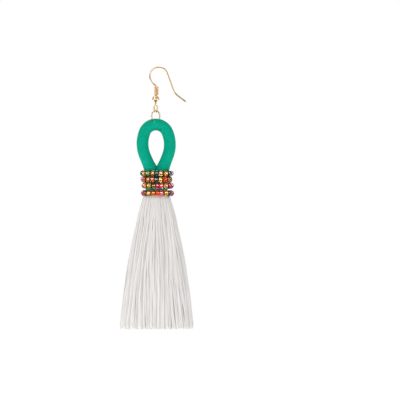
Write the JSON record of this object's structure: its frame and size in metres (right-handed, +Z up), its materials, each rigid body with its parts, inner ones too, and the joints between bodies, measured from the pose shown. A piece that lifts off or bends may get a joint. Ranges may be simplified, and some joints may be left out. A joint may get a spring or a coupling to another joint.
{
  "type": "tassel_earring",
  "caption": "Drop earring: gold ear wire with coil and ball, jump ring, green thread-wound loop bound with rows of seed beads over a white thread tassel",
  "frame": {"origin": "underside of the ear wire at the top of its bend, where it hangs in the ear", "axes": "+Z up, +X back along the wire to its tail, the drop's front faces -Y"},
  "size_m": [0.0303, 0.0164, 0.1078],
  "materials": {
    "gold_wire": "polished, gold plated",
    "green_thread": "wound satin thread",
    "bead_glass": "silver-lined and opaque glass in mixed colours",
    "tassel_thread": "soft white thread"
  },
  "bodies": {
    "hook": {"ear_hook": "gold_wire", "hook_coil": "gold_wire", "hook_ball": "gold_wire"},
    "ring": {"jump_ring": "gold_wire"},
    "drop": {"wrapped_loop": "green_thread", "neck_binding": "green_thread", "bead_strand": "bead_glass", "tassel": "tassel_thread"}
  },
  "joints": [
    {"name": "ring_swing", "type": "hinge", "parent": "hook", "child": "ring", "pos_m": [-0.00128, 0, -0.01741], "axis": [0.7071, 0.7071, 0], "range_deg": [-60, 60]},
    {"name": "drop_swing", "type": "hinge", "parent": "ring", "child": "drop", "pos_m": [-0.00128, 0, -0.01971], "axis": [0.7071, -0.7071, 0], "range_deg": [-60, 60]}
  ]
}
